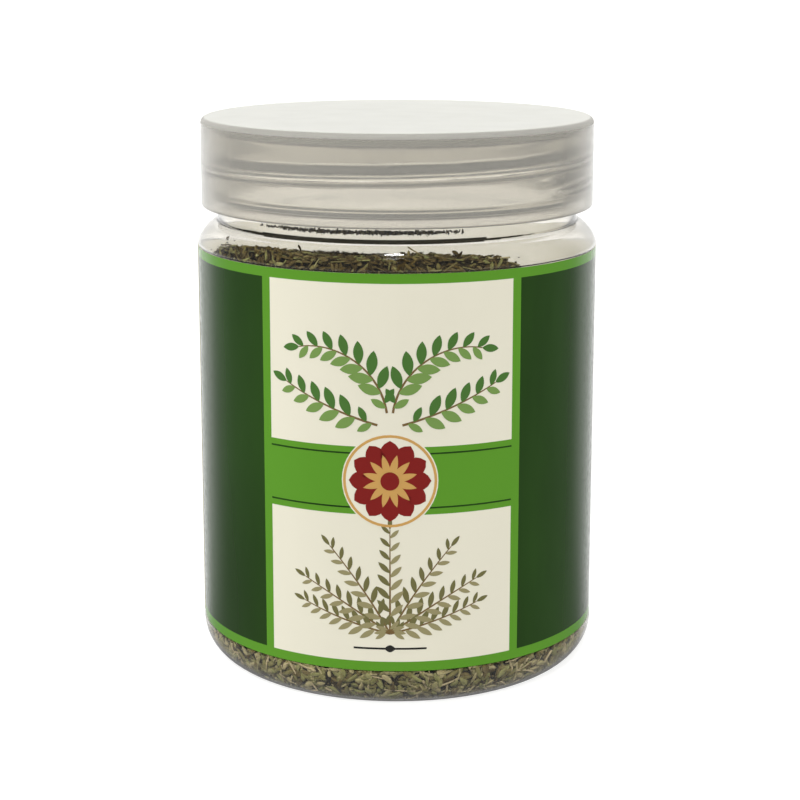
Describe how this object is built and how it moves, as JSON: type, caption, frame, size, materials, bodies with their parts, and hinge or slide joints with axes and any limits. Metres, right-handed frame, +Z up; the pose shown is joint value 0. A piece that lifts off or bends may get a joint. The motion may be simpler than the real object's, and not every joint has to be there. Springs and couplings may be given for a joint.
{
  "type": "screw-lid spice jar of dried thyme",
  "caption": "Clear round plastic jar with a milky screw lid, a printed label round its body and a fill of dried thyme leaves and stems.",
  "frame": {"origin": "centre of the jar's base, on the surface that it stands on", "axes": "+Z up along the jar's axis, towards the lid; -Y is the front, where the label's panel is"},
  "size_m": [0.086, 0.086, 0.1187],
  "materials": {
    "jar_plastic": "gloss",
    "lid_plastic": "satin",
    "liner_foam": "matte",
    "label_paper": "gloss",
    "thyme": "matte"
  },
  "bodies": {
    "jar": {"jar_body": "jar_plastic", "label": "label_paper", "dried_thyme": "thyme"},
    "liner": {"lid_liner": "liner_foam"},
    "lid": {"lid": "lid_plastic"}
  },
  "joints": [
    {"name": "lid_rise", "type": "slide", "parent": "jar", "child": "liner", "axis": [0, 0, 1], "range_m": [0, 0.0063]},
    {"name": "lid_turn", "type": "hinge", "parent": "liner", "child": "lid", "pos_m": [0, 0, 0.11], "axis": [0, 0, 1], "range_deg": [0, 450]}
  ],
  "couplings": [
    {"joint": "lid_rise", "follows": "lid_turn", "m_per_rad": 0.00079577}
  ]
}
